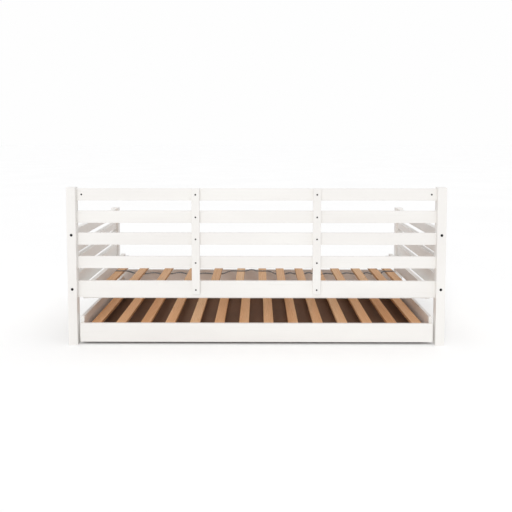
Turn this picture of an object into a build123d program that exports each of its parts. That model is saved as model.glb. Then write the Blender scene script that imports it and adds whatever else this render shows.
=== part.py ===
"""Single bed with a guard-railed back and a low trundle bed that rolls out of its front.

Millimetres, +Z up. X runs along the bed, -Y is the guarded back, +Y the open front.
The origin is on the floor, under the middle of the bed.
"""
from build123d import *
import os

# ---- Overall sizes of the bed frame ---------------------------------------------------
LENGTH = 2088.0            # over the faces of the posts, along X
DEPTH = 1025.0             # over the faces of the posts, along Y
POST = 50.0                # square section of all four posts
REAR_POST_HEIGHT = 881.0
FRONT_POST_HEIGHT = 652.0
EASE = 2.0                 # rounding of the long edges of the boards and posts

# ---- Back: four slats over a bottom rail, tied by two battens --------------------------
BACK_INSET = 25.0          # from the posts' back faces to the slats' back faces
BACK_SLAT_HEIGHT = 67.0
BACK_SLAT_THICK = 18.0
BACK_TOP_DROP = 7.0        # from the post tops to the top slat
BACK_GAP_PARTS = (58.0, 55.0, 65.0, 72.0)  # how the gaps share their room, from the top down
RAIL_HEIGHT = 92.0         # bottom rail of the back
RAIL_DOWN = 28.0           # from the upper bed's slat tops to the rail's underside
RAIL_THICK = 20.0
BATTEN_X = 335.0           # battens' distance from the middle of the bed
BATTEN_WIDTH = 44.0
BATTEN_THICK = 16.0
BATTEN_SHORT = 21.0        # the battens end this far above the rail's underside

# ---- Front rail ------------------------------------------------------------------------
FRONT_RAIL_HEIGHT = 78.0
FRONT_RAIL_DOWN = 70.0     # from the upper bed's slat tops to the front rail's underside

# ---- Ends: four rails each, from the top down -------------------------------------------
END_TOP_DROP = 6.0         # from the front post tops to the top end rails
END_RAIL_HEIGHTS = (57.0, 43.0, 67.0, 91.0)
END_GAPS = (36.0, 22.0, 29.0)
END_RAIL_THICK = 30.0
END_RAIL_INSET = 10.0      # from the posts' outer faces to the rails' outer faces

# ---- Joints ----------------------------------------------------------------------------
TENON_LENGTH = 18.0        # tenons of the rails and slats that run along X
TENON_THICK = 8.0
END_TENON_LENGTH = 10.0    # tenons of the end rails
END_TENON_THICK = 12.0
TENON_SHOULDER = 9.0       # above and below each tenon
GLUE_GAP = 0.15            # round a tenon in its mortise
MORTISE_EXTRA = 1.0        # a mortise is this much deeper than its tenon

# ---- Slatted base of the upper bed ------------------------------------------------------
SLAT_TOP = 292.0           # height of the upper sleeping platform
SLAT_WIDTH = 50.0
SLAT_THICK = 17.0
SLAT_END_GAP = 2.5         # from a slat's end to the rail
SLAT_FROM_END = 58.0       # from the base's end board to the middle of the outermost slat
SLAT_PLACES = (-888, -748, -582, -415, -252, -102, 37, 152, 277, 395, 516, 654, 768, 860)
LEDGER_HEIGHT = 20.0
LEDGER_DEPTH = 25.0
LEDGER_SCREWS = 7
BASE_END_HEIGHT = 70.0     # boards that close the slatted base at the head and the foot
BASE_END_THICK = 25.0
BASE_END_GAP = 23.0        # between those boards and the line of the posts' inner faces
BASE_END_UP = 30.0         # from the slats' tops to the tops of those boards
STRAP_WIDTH = 25.0
STRAP_THICK = 1.6
STRAP_Y = 42.0
STRAP_OVER = (0, 5, 6, 13)  # the slats that the strap passes over; it passes under the rest

# ---- Trundle ---------------------------------------------------------------------------
TRUNDLE_SIDE_GAP = 11.0    # to each post
TRUNDLE_INSET = 15.0       # from the posts' back faces to the trundle's back panel
PANEL_THICK = 18.0
FLOOR_GAP = 14.0           # under the panels
BACK_PANEL_UP = 16.0       # from the trundle's slat tops to the back panel's top
SIDE_PANEL_UP = 52.0       # from the trundle's slat tops to the side panels' tops
FINGER_GAP = 20.0          # between the front panel and the front rail above it
TRUNDLE_SLAT_COUNT = 14
TRUNDLE_SLAT_WIDTH = 56.0
TRUNDLE_SLAT_THICK = 18.0
TRUNDLE_SLAT_END_GAP = 1.5
TRUNDLE_SLAT_SIDE_GAP = 24.5
BEARER_DEPTH = 80.0        # planks that carry the trundle's slats at the front and back
BEARER_THICK = 19.0
BOTTOM_THICK = 4.0         # hardboard that closes the trundle under its slats
BOTTOM_UP = 8.0            # from the panels' undersides to the hardboard
BOTTOM_OPENING = 5.0       # clear of the wheels and brackets that pass through the hardboard
CORNER_BLOCK = 30.0        # square section of the blocks in the trundle's corners
CORNER_BLOCK_GAP = 2.0     # from a corner block to the bearer above it

# ---- Wheels ----------------------------------------------------------------------------
WHEEL_RADIUS = 30.0
WHEEL_WIDTH = 22.0
WHEEL_FROM_SIDE = 75.0     # from the side panel's inner face to the wheel's middle
WHEEL_FROM_PANEL = 44.5    # from the front or back panel's inner face to the axle's middle
WHEEL_TOP_GAP = 3.5        # between a wheel and its bracket's plate
WHEEL_EDGE = 3.0           # rounding of the tread's edges
WHEEL_RECESS = 3.0         # depth of the dished sides
HUB_RADIUS = 9.0
DISH_RADIUS = 23.0
AXLE_RADIUS = 4.0
AXLE_HEAD_RADIUS = 6.5
AXLE_HEAD = 2.0
RUNNING_FIT = 0.05         # radial, between a wheel and its axle
SEAT_FIT = 0.02            # radial, between an axle and its bracket
WHEEL_SIDE_GAP = 1.5       # between a wheel and each cheek of its bracket
BRACKET_STEEL = 2.5
BRACKET_WIDTH = 30.0       # cheek, along Y
BRACKET_PLATE_Y = 62.0
BRACKET_FLANGE = 12.0      # the plate's width outside each cheek, along X

# ---- Fasteners -------------------------------------------------------------------------
BOLT_RADIUS = 3.0
BOLT_HEAD_RADIUS = 7.5
BOLT_HEAD = 2.0
BOLT_REACH = 45.0          # how far a bolt goes into an end rail
SIDE_BOLT_REACH = 41.0     # how far the side bolts go into the top slat
LOWER_BOLT_UP = 14.0       # above the underside of the lowest end rail
BARREL_RADIUS = 5.0
BARREL_BACK = 14.0         # from a bolt's tip to the middle of its barrel nut
BOLT_CLEARANCE = 0.2       # radial, round the bolts
SCREW_RADIUS = 2.0
SCREW_HEAD_RADIUS = 4.5
SCREW_HEAD = 1.5
SCREW_MARGIN = 1.0         # from a screw's head to the edge of a bracket's plate
ANGLE_LEG = 24.0           # steel angles in the corners of the slatted base
ANGLE_HEIGHT = 26.0
ANGLE_STEEL = 2.0
ANGLE_UP = 15.0            # from the slats' tops to the tops of the angles
ANGLE_SCREW_OUT = 14.4     # from an angle's corner to its screws

# ---- Places worked out from the sizes above ---------------------------------------------
X_OUT = LENGTH / 2
Y_OUT = DEPTH / 2
X_IN = X_OUT - POST                      # posts' faces towards the middle of the bed
Y_IN = Y_OUT - POST
RAIL_OUT = Y_OUT - BACK_INSET            # outer faces of the back and front rails
RAIL_IN = RAIL_OUT - RAIL_THICK
END_OUT = X_OUT - END_RAIL_INSET
END_IN = END_OUT - END_RAIL_THICK
END_MID = (END_OUT + END_IN) / 2
BASE_END_OUT = X_IN - BASE_END_GAP
BASE_END_IN = BASE_END_OUT - BASE_END_THICK
SLAT_BOTTOM = SLAT_TOP - SLAT_THICK
SLAT_CENTRES = [place * (BASE_END_IN - SLAT_FROM_END) / max(map(abs, SLAT_PLACES))
                for place in SLAT_PLACES]
RAIL_BOTTOM = SLAT_TOP - RAIL_DOWN
FRONT_RAIL_BOTTOM = SLAT_TOP - FRONT_RAIL_DOWN
BASE_END_TOP = SLAT_TOP + BASE_END_UP
T_OUT = X_IN - TRUNDLE_SIDE_GAP
T_IN = T_OUT - PANEL_THICK
T_Y_OUT = Y_OUT - TRUNDLE_INSET
T_Y_IN = T_Y_OUT - PANEL_THICK
BEARER_BOTTOM = 2 * WHEEL_RADIUS + WHEEL_TOP_GAP + BRACKET_STEEL
T_SLAT_BOTTOM = BEARER_BOTTOM + BEARER_THICK
TRUNDLE_SLAT_TOP = T_SLAT_BOTTOM + TRUNDLE_SLAT_THICK
FRONT_PANEL_TOP = FRONT_RAIL_BOTTOM - FINGER_GAP
BACK_PANEL_TOP = TRUNDLE_SLAT_TOP + BACK_PANEL_UP
SIDE_PANEL_TOP = TRUNDLE_SLAT_TOP + SIDE_PANEL_UP
WHEEL_X = T_IN - WHEEL_FROM_SIDE
WHEEL_Y = T_Y_IN - WHEEL_FROM_PANEL
CHEEK = WHEEL_WIDTH / 2 + WHEEL_SIDE_GAP       # from the wheel's middle to a cheek
BRACKET_PLATE_X = 2 * (CHEEK + BRACKET_STEEL + BRACKET_FLANGE)
BOTTOM_LOW = FLOOR_GAP + BOTTOM_UP
BOTTOM_HIGH = BOTTOM_LOW + BOTTOM_THICK
SIDES = {"left": -1, "right": 1}
ENDS = {"rear": -1, "front": 1}


def block(x0, x1, y0, y1, z0, z1):
    """A box between two limits on each axis, which may come in either order."""
    middle = Pos((x0 + x1) / 2, (y0 + y1) / 2, (z0 + z1) / 2)
    return middle * Box(abs(x1 - x0), abs(y1 - y0), abs(z1 - z0))


def eased(board, axis):
    """The same board with the edges along one axis rounded."""
    return fillet(board.edges().filter_by(axis), EASE)


def rod(start, direction, length, radius):
    """A round bar from a point along a direction."""
    return Plane(origin=start, z_dir=direction) * Cylinder(
        radius, length, align=(Align.CENTER, Align.CENTER, Align.MIN))


def headed(start, direction, length, radius, head_radius, head, sunk):
    """A bolt or screw: its shank goes in at start, its head stands out or is let in flush."""
    way = Vector(*direction)
    seat = Vector(*start) + way * (head if sunk else 0)
    cap = rod(seat - way * head, way, head, head_radius)
    return cap + rod(seat, way, length, radius)


def screw(start, direction, length, sunk=True):
    return headed(start, direction, length, SCREW_RADIUS, SCREW_HEAD_RADIUS, SCREW_HEAD, sunk)


def fitted(piece, others):
    """The piece with every one of the others cut out of it."""
    return piece.cut(*others) if others else piece


def save(name, shape):
    shape.label = name
    export_step(shape, f"parts/{name}.step")


# ---- Tenons and mortises ---------------------------------------------------------------
def x_tenon(y0, y1, z0, z1, grow=0.0, deeper=0.0):
    """The bar that makes the tenons of a board along X, or with growth its mortises."""
    reach = X_IN + TENON_LENGTH + deeper
    half = TENON_THICK / 2 + grow
    middle = (y0 + y1) / 2
    low = z0 + TENON_SHOULDER - grow
    high = z1 - TENON_SHOULDER + grow
    return block(-reach, reach, middle - half, middle + half, low, high)


def end_tenon(side, z0, z1, grow=0.0, deeper=0.0):
    """The bar that makes the tenons of an end rail, or with growth its mortises."""
    reach = Y_IN + END_TENON_LENGTH + deeper
    half = END_TENON_THICK / 2 + grow
    low = z0 + TENON_SHOULDER - grow
    high = z1 - TENON_SHOULDER + grow
    return block(side * (END_MID - half), side * (END_MID + half), -reach, reach, low, high)


# ---- Levels of the boards --------------------------------------------------------------
def back_levels():
    """(bottom, top) of the four back slats, then of the bottom rail."""
    top = REAR_POST_HEIGHT - BACK_TOP_DROP
    rail = (RAIL_BOTTOM, RAIL_BOTTOM + RAIL_HEIGHT)
    room = top - rail[1] - len(BACK_GAP_PARTS) * BACK_SLAT_HEIGHT
    levels = []
    for part in BACK_GAP_PARTS:
        levels.append((top - BACK_SLAT_HEIGHT, top))
        top -= BACK_SLAT_HEIGHT + room * part / sum(BACK_GAP_PARTS)
    return levels + [rail]


def end_levels():
    """(bottom, top) of the four rails of an end."""
    levels = []
    top = FRONT_POST_HEIGHT - END_TOP_DROP
    for height, gap in zip(END_RAIL_HEIGHTS, END_GAPS + (0.0,)):
        levels.append((top - height, top))
        top -= height + gap
    return levels


BACK = back_levels()
END = end_levels()
FRONT = (FRONT_RAIL_BOTTOM, FRONT_RAIL_BOTTOM + FRONT_RAIL_HEIGHT)
UPPER_BOLT_Z = (END[0][0] + END[0][1]) / 2
LOWER_BOLT_Z = END[-1][0] + LOWER_BOLT_UP
TOP_SLAT_Z = (BACK[0][0] + BACK[0][1]) / 2
SLAT_Y = -(RAIL_OUT - BACK_SLAT_THICK / 2)     # middle of the back slats' thickness


# ---- Fasteners -------------------------------------------------------------------------
def bolt_lines():
    """Every frame bolt: where it enters, its way in, its length and its barrel's way."""
    lines = []
    for side in SIDES.values():
        for end in ENDS.values():
            for z in (UPPER_BOLT_Z, LOWER_BOLT_Z):
                start = (side * END_MID, end * Y_OUT, z)
                lines.append((start, (0, -end, 0), POST + BOLT_REACH, (1, 0, 0)))
        start = (side * X_OUT, SLAT_Y, TOP_SLAT_Z)
        lines.append((start, (-side, 0, 0), POST + SIDE_BOLT_REACH, (0, 1, 0)))
    return lines


def frame_bolts(clearance=0.0):
    return [headed(start, way, length, BOLT_RADIUS + clearance, BOLT_HEAD_RADIUS,
                   BOLT_HEAD, False) for start, way, length, _ in bolt_lines()]


def barrel_nuts(bored=True):
    """Cross-drilled nuts, flush with the faces of the boards that hold them."""
    nuts = []
    for start, way, length, across in bolt_lines():
        spot = Vector(*start) + Vector(*way) * (length - BARREL_BACK)
        long = END_RAIL_THICK if across[0] else BACK_SLAT_THICK
        nut = rod(spot - Vector(*across) * (long / 2), across, long, BARREL_RADIUS)
        if bored:
            nut -= rod(start, way, length, BOLT_RADIUS)
        nuts.append(nut)
    return nuts


def back_screws():
    """One screw through each batten into the middle of each back slat and of the rail."""
    y = -(RAIL_OUT + BATTEN_THICK)
    length = BATTEN_THICK + BACK_SLAT_THICK / 2
    return [screw((side * BATTEN_X, y, (low + high) / 2), (0, 1, 0), length, sunk=False)
            for side in SIDES.values() for low, high in BACK]


def ledger_screws():
    """Screws through the two ledgers into the rails behind them."""
    z = SLAT_BOTTOM - LEDGER_HEIGHT / 2
    y = RAIL_IN - LEDGER_DEPTH
    step = 2 * BASE_END_IN / LEDGER_SCREWS
    spots = [step * (k + 0.5) - BASE_END_IN for k in range(LEDGER_SCREWS)]
    length = LEDGER_DEPTH + RAIL_THICK / 2
    return [screw((x, end * y, z), (0, end, 0), length) for end in ENDS.values() for x in spots]


def angle_places():
    """Corners of the slatted base, as the signs of X and Y."""
    return [(side, end) for side in SIDES.values() for end in ENDS.values()]


def angle_level():
    high = SLAT_TOP + ANGLE_UP
    return high - ANGLE_HEIGHT, high


def corner_angles():
    """Steel angles that join the base's end boards to the back and front rails."""
    low, high = angle_level()
    angles = []
    for side, end in angle_places():
        x, y = side * BASE_END_IN, end * RAIL_IN
        on_board = block(x, x - side * ANGLE_STEEL, y, y - end * ANGLE_LEG, low, high)
        on_rail = block(x, x - side * ANGLE_LEG, y, y - end * ANGLE_STEEL, low, high)
        angles.append(on_board + on_rail)
    return angles


def angle_screws():
    """One screw in each leg of each angle, half way up."""
    z = sum(angle_level()) / 2
    screws = []
    for side, end in angle_places():
        x = side * (BASE_END_IN - ANGLE_STEEL)
        y = end * (RAIL_IN - ANGLE_STEEL)
        into_board = (x, end * (RAIL_IN - ANGLE_SCREW_OUT), z)
        into_rail = (side * (BASE_END_IN - ANGLE_SCREW_OUT), y, z)
        screws.append(screw(into_board, (side, 0, 0), BASE_END_THICK / 2, sunk=False))
        screws.append(screw(into_rail, (0, end, 0), RAIL_THICK / 2, sunk=False))
    return screws


# ---- Bed frame -------------------------------------------------------------------------
def post(side, end):
    """One post with its mortises and bolt holes."""
    height = REAR_POST_HEIGHT if end < 0 else FRONT_POST_HEIGHT
    body = block(side * X_IN, side * X_OUT, end * Y_IN, end * Y_OUT, 0, height)
    top = body.faces().sort_by(Axis.Z)[-1].edges()
    body = fillet(body.edges().filter_by(Axis.Z) + top, EASE)
    cuts = [end_tenon(side, low, high, GLUE_GAP, MORTISE_EXTRA) for low, high in END]
    if end < 0:
        for low, high in BACK[:-1]:
            cuts.append(x_tenon(-RAIL_OUT, -RAIL_OUT + BACK_SLAT_THICK, low, high,
                                GLUE_GAP, MORTISE_EXTRA))
        cuts.append(x_tenon(-RAIL_OUT, -RAIL_IN, *BACK[-1], GLUE_GAP, MORTISE_EXTRA))
    else:
        cuts.append(x_tenon(RAIL_IN, RAIL_OUT, *FRONT, GLUE_GAP, MORTISE_EXTRA))
    return fitted(body, cuts + frame_bolts(BOLT_CLEARANCE))


def board_along_x(y0, y1, low, high, holes):
    body = eased(block(-X_IN, X_IN, y0, y1, low, high), Axis.X)
    return fitted(body + x_tenon(y0, y1, low, high), holes)


def end_rail(side, low, high):
    body = eased(block(side * END_IN, side * END_OUT, -Y_IN, Y_IN, low, high), Axis.Y)
    holes = frame_bolts(BOLT_CLEARANCE) + barrel_nuts(bored=False)
    return fitted(body + end_tenon(side, low, high), holes)


def batten(side):
    low = BACK[-1][0] + BATTEN_SHORT
    high = BACK[0][1]
    x = side * BATTEN_X
    half = BATTEN_WIDTH / 2
    body = block(x - half, x + half, -RAIL_OUT - BATTEN_THICK, -RAIL_OUT, low, high)
    outer = body.faces().sort_by(Axis.Y)[0].edges()
    return fitted(fillet(outer, EASE), back_screws())


def base_end(side):
    body = block(side * BASE_END_IN, side * BASE_END_OUT, -RAIL_IN, RAIL_IN,
                 BASE_END_TOP - BASE_END_HEIGHT, BASE_END_TOP)
    return fitted(eased(body, Axis.Y), angle_screws())


def ledger(end):
    inner = RAIL_IN - LEDGER_DEPTH
    body = block(-BASE_END_IN, BASE_END_IN, end * inner, end * RAIL_IN,
                 SLAT_BOTTOM - LEDGER_HEIGHT, SLAT_BOTTOM)
    return fitted(body, ledger_screws())


def upper_slat(x):
    half = SLAT_WIDTH / 2
    reach = RAIL_IN - SLAT_END_GAP
    return eased(block(x - half, x + half, -reach, reach, SLAT_BOTTOM, SLAT_TOP), Axis.Y)


def strap():
    """A webbing strap that weaves along the slats, over some of them and under the rest."""
    half = SLAT_WIDTH / 2
    lower, upper = [], []
    for number, x in enumerate(SLAT_CENTRES):
        z = SLAT_TOP if number in STRAP_OVER else SLAT_BOTTOM - STRAP_THICK
        for edge in (x - half, x + half):
            lower.append((edge, z))
            upper.append((edge, z + STRAP_THICK))
    outline = Polyline(*lower, *reversed(upper), close=True)
    face = Plane.XZ * make_face(outline)
    return Pos(0, STRAP_Y + STRAP_WIDTH / 2, 0) * extrude(face, STRAP_WIDTH)


# ---- Trundle ---------------------------------------------------------------------------
def trundle_slat_centres():
    edge = T_IN - TRUNDLE_SLAT_SIDE_GAP - TRUNDLE_SLAT_WIDTH / 2
    step = 2 * edge / (TRUNDLE_SLAT_COUNT - 1)
    return [-edge + step * k for k in range(TRUNDLE_SLAT_COUNT)]


def trundle_slats(screws):
    reach = T_Y_IN - TRUNDLE_SLAT_END_GAP
    half = TRUNDLE_SLAT_WIDTH / 2
    slats = []
    for x in trundle_slat_centres():
        body = block(x - half, x + half, -reach, reach, T_SLAT_BOTTOM, TRUNDLE_SLAT_TOP)
        slats.append(fitted(eased(body, Axis.Y), screws))
    return slats


def slat_screws():
    """Two screws in each trundle slat, down into the bearers."""
    y = T_Y_IN - BEARER_DEPTH / 4
    length = TRUNDLE_SLAT_THICK + BEARER_THICK / 3     # clear of the castor screws' tips below
    return [screw((x, end * y, TRUNDLE_SLAT_TOP), (0, 0, -1), length)
            for x in trundle_slat_centres() for end in ENDS.values()]


def corner_screws():
    """Screws through the corner blocks, one into each panel that meets there."""
    z = (BOTTOM_HIGH + BEARER_BOTTOM - CORNER_BLOCK_GAP) / 2
    length = CORNER_BLOCK + PANEL_THICK / 2
    apart = 2 * SCREW_HEAD_RADIUS
    x, y = T_IN - CORNER_BLOCK, T_Y_IN - CORNER_BLOCK
    screws = []
    for side, end in angle_places():
        into_side = (side * x, end * (T_Y_IN - CORNER_BLOCK / 2), z + apart)
        into_panel = (side * (T_IN - CORNER_BLOCK / 2), end * y, z - apart)
        screws.append(screw(into_side, (side, 0, 0), length))
        screws.append(screw(into_panel, (0, end, 0), length))
    return screws


def castor_screws():
    """Four screws up through each wheel bracket's plate into the bearer."""
    away_x = BRACKET_PLATE_X / 2 - SCREW_HEAD_RADIUS - SCREW_MARGIN
    away_y = BRACKET_PLATE_Y / 2 - SCREW_HEAD_RADIUS - SCREW_MARGIN
    z = BEARER_BOTTOM - BRACKET_STEEL
    length = BRACKET_STEEL + BEARER_THICK / 2
    screws = []
    for side, end in angle_places():
        for dx in (-away_x, away_x):
            for dy in (-away_y, away_y):
                start = (side * WHEEL_X + dx, end * WHEEL_Y + dy, z)
                screws.append(screw(start, (0, 0, 1), length, sunk=False))
    return screws


def panel_along_x(end, top, screws):
    body = block(-T_OUT, T_OUT, end * T_Y_IN, end * T_Y_OUT, FLOOR_GAP, top)
    return fitted(eased(body, Axis.X), screws)


def panel_along_y(side, screws):
    body = block(side * T_IN, side * T_OUT, -T_Y_IN, T_Y_IN, FLOOR_GAP, SIDE_PANEL_TOP)
    return fitted(eased(body, Axis.Y), screws)


def bearer(end, screws):
    body = block(-T_IN, T_IN, end * (T_Y_IN - BEARER_DEPTH), end * T_Y_IN,
                 BEARER_BOTTOM, T_SLAT_BOTTOM)
    return fitted(body, screws)


def bottom():
    """A sheet of hardboard between the panels, with an opening for each wheel."""
    half_x = CHEEK + BRACKET_STEEL + AXLE_HEAD + BOTTOM_OPENING
    half_y = WHEEL_RADIUS + BOTTOM_OPENING
    openings = []
    for side, end in angle_places():
        x, y = side * WHEEL_X, end * WHEEL_Y
        openings.append(block(x - half_x, x + half_x, y - half_y, y + half_y,
                              BOTTOM_LOW, BOTTOM_HIGH))
    return fitted(block(-T_IN, T_IN, -T_Y_IN, T_Y_IN, BOTTOM_LOW, BOTTOM_HIGH), openings)


def corner_block(side, end, screws):
    body = block(side * (T_IN - CORNER_BLOCK), side * T_IN,
                 end * (T_Y_IN - CORNER_BLOCK), end * T_Y_IN,
                 BOTTOM_HIGH, BEARER_BOTTOM - CORNER_BLOCK_GAP)
    return fitted(body, screws)


# ---- Wheels ----------------------------------------------------------------------------
def wheel(side, end):
    """A moulded wheel with dished sides, a rounded tread and a bore that runs on the axle."""
    half = WHEEL_WIDTH / 2
    at = Plane(origin=(side * WHEEL_X - half, end * WHEEL_Y, WHEEL_RADIUS), z_dir=(1, 0, 0))
    tread = at * Cylinder(WHEEL_RADIUS, WHEEL_WIDTH, align=(Align.CENTER, Align.CENTER, Align.MIN))
    tread = fillet(tread.edges(), WHEEL_EDGE)
    dish = Cylinder(DISH_RADIUS, WHEEL_RECESS) - Cylinder(HUB_RADIUS, WHEEL_RECESS)
    bore = Cylinder(AXLE_RADIUS + RUNNING_FIT, 2 * WHEEL_WIDTH)
    low = at * Pos(0, 0, WHEEL_RECESS / 2) * dish
    high = at * Pos(0, 0, WHEEL_WIDTH - WHEEL_RECESS / 2) * dish
    return tread.cut(low, high, at * bore)


def axle(side, end):
    """A riveted pin through the bracket, with a head outside each cheek."""
    reach = CHEEK + BRACKET_STEEL
    start = Vector(side * WHEEL_X - reach, end * WHEEL_Y, WHEEL_RADIUS)
    way = Vector(1, 0, 0)
    pin = rod(start, way, 2 * reach, AXLE_RADIUS)
    first = rod(start - way * AXLE_HEAD, way, AXLE_HEAD, AXLE_HEAD_RADIUS)
    last = rod(start + way * 2 * reach, way, AXLE_HEAD, AXLE_HEAD_RADIUS)
    return pin + first + last


def wheel_bracket(side, end, screws):
    """A bent steel fork: a plate under the bearer and a rounded cheek each side."""
    x, y = side * WHEEL_X, end * WHEEL_Y
    top = BEARER_BOTTOM
    half_x, half_y = BRACKET_PLATE_X / 2, BRACKET_PLATE_Y / 2
    fork = block(x - half_x, x + half_x, y - half_y, y + half_y, top - BRACKET_STEEL, top)
    half = BRACKET_WIDTH / 2
    for near in (-CHEEK - BRACKET_STEEL, CHEEK):
        fork += block(x + near, x + near + BRACKET_STEEL, y - half, y + half,
                      WHEEL_RADIUS, top - BRACKET_STEEL)
        fork += rod((x + near, y, WHEEL_RADIUS), (1, 0, 0), BRACKET_STEEL, half)
    reach = CHEEK + 2 * BRACKET_STEEL
    hole = rod((x - reach, y, WHEEL_RADIUS), (1, 0, 0), 2 * reach, AXLE_RADIUS + SEAT_FIT)
    return fitted(fork, [hole] + screws)


# ---- Write every piece -----------------------------------------------------------------
def write_frame():
    for end_name, end in ENDS.items():
        for side_name, side in SIDES.items():
            save(f"{end_name}_post_{side_name}", post(side, end))
    slat_holes = back_screws() + frame_bolts(BOLT_CLEARANCE) + barrel_nuts(bored=False)
    for number, (low, high) in enumerate(BACK[:-1], start=1):
        save(f"back_slat_{number}", board_along_x(
            -RAIL_OUT, -RAIL_OUT + BACK_SLAT_THICK, low, high, slat_holes))
    rail_holes = back_screws() + ledger_screws() + angle_screws()
    save("back_bottom_rail", board_along_x(-RAIL_OUT, -RAIL_IN, *BACK[-1], rail_holes))
    save("front_rail", board_along_x(RAIL_IN, RAIL_OUT, *FRONT, rail_holes))
    for side_name, side in SIDES.items():
        save(f"back_batten_{side_name}", batten(side))
        save(f"base_end_{side_name}", base_end(side))
        for number, (low, high) in enumerate(END, start=1):
            save(f"end_rail_{side_name}_{number}", end_rail(side, low, high))
    for end_name, end in ENDS.items():
        save(f"slat_ledger_{end_name}", ledger(end))
    for number, x in enumerate(SLAT_CENTRES, start=1):
        save(f"upper_slat_{number:02d}", upper_slat(x))
    save("slat_strap", strap())


def write_fasteners():
    save("frame_bolts", Compound(children=frame_bolts()))
    save("barrel_nuts", Compound(children=barrel_nuts()))
    save("batten_screws", Compound(children=back_screws()))
    save("base_screws", Compound(children=ledger_screws() + angle_screws()))
    save("corner_angles", Compound(children=[fitted(a, angle_screws()) for a in corner_angles()]))


def write_trundle():
    corners = corner_screws()
    castors = castor_screws()
    slats = slat_screws()
    save("trundle_back_panel", panel_along_x(-1, BACK_PANEL_TOP, corners))
    save("trundle_front_panel", panel_along_x(1, FRONT_PANEL_TOP, corners))
    for side_name, side in SIDES.items():
        save(f"trundle_side_{side_name}", panel_along_y(side, corners))
    for end_name, end in ENDS.items():
        save(f"trundle_bearer_{end_name}", bearer(end, castors + slats))
    save("trundle_bottom", bottom())
    save("trundle_slats", Compound(children=trundle_slats(slats)))
    save("trundle_screws", Compound(children=corners + castors + slats))
    places = angle_places()
    save("corner_blocks", Compound(children=[corner_block(*p, corners) for p in places]))
    save("wheel_brackets", Compound(children=[wheel_bracket(*p, castors) for p in places]))
    save("wheel_axles", Compound(children=[axle(*p) for p in places]))
    for end_name, end in ENDS.items():
        for side_name, side in SIDES.items():
            save(f"wheel_{end_name}_{side_name}", wheel(side, end))


def main():
    os.makedirs("parts", exist_ok=True)
    write_frame()
    write_fasteners()
    write_trundle()


main()
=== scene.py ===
# %% [markdown]
# # A white single bed with a trundle bed under it
#
# The bed is a painted pine frame: four square posts, a guard-railed back of four slats over a
# bottom rail, four rails at each end, and a base of bare pine slats. A second, low bed with its own
# slats rolls out from under it. A machine shop would say that all the real shapes are already
# settled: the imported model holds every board, bolt and wheel in its true place, in metres. What is
# left for Blender is what the eye reads as real: paint over grain, oiled pine with growth rings and
# knots, plated screws with drivable heads, woven strap and moulded wheels.
#
# We start by loading that model. Its pieces must never be moved, so it is called the frame.

# %% Load the frame
import math

import bpy
import numpy as np
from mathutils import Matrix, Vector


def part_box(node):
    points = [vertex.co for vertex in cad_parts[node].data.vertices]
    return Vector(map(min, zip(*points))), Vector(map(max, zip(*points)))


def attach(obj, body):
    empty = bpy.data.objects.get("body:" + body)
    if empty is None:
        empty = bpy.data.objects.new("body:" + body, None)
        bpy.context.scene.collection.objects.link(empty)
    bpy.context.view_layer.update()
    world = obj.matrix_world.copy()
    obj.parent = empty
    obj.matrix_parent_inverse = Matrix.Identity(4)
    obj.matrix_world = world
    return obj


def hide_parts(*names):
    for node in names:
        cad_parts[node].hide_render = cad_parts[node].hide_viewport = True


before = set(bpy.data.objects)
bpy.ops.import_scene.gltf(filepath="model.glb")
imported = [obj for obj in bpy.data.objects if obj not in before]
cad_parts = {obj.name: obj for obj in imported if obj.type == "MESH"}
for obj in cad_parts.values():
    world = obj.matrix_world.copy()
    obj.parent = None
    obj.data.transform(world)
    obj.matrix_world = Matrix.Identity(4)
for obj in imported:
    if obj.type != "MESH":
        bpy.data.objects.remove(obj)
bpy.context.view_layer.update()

# %% [markdown]
# ## The camera
#
# A product photographer stands back from the bed, a little above the guard's top rail, and looks
# almost level. Tilting the camera down would make the posts lean apart, so the tilt is slight and
# the lens is shifted instead, as on a view camera. The bed's sides still narrow to one point behind
# it, because the camera is only a few steps away.

# %% Camera
SENSOR = 0.036                      # width of the sensor, in metres
FRAME_SIDE = 512                    # the picture is this many points wide and high
FOCAL = 589.0                       # focal length in the same points
CAMERA_PLACE = (0.015, -3.7235, 1.152)
TILT = 3.56                         # degrees below the horizon
TURN = 0.29                         # degrees towards -X
LENS_DROP = -0.159                  # share of the picture's width

camera_data = bpy.data.cameras.new("studio_camera")
camera_data.sensor_width = SENSOR * 1000
camera_data.lens = FOCAL / FRAME_SIDE * SENSOR * 1000
camera_data.shift_y = LENS_DROP
camera = bpy.data.objects.new("studio_camera", camera_data)
camera.location = CAMERA_PLACE
camera.rotation_euler = (math.radians(90 - TILT), 0, math.radians(TURN))
bpy.context.scene.collection.objects.link(camera)
bpy.context.scene.camera = camera
print("lens:", round(camera_data.lens, 2), "mm")

# %% [markdown]
# ## Colours and nodes
#
# Colours are chosen as hex values, the way paint cards and screens give them. Shaders work with
# the amount of light instead, so one function undoes the screen's curve. A second small function
# adds a node, its settings and its links in one go, which keeps each material readable.

# %% Colour and node helpers
CURVE_TOE = 0.04045                 # below this the screen's curve is a straight line
CURVE_SLOPE = 12.92


def linear(hex_colour):
    """Screen colour '#rrggbb' to linear light: c / 12.92 near black, ((c + 0.055) / 1.055) ^ 2.4 above."""
    c = np.array([int(hex_colour[i:i + 2], 16) for i in (1, 3, 5)]) / 255
    light = np.where(c <= CURVE_TOE, c / CURVE_SLOPE, ((c + 0.055) / 1.055) ** 2.4)
    return (*light.tolist(), 1.0)


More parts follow.
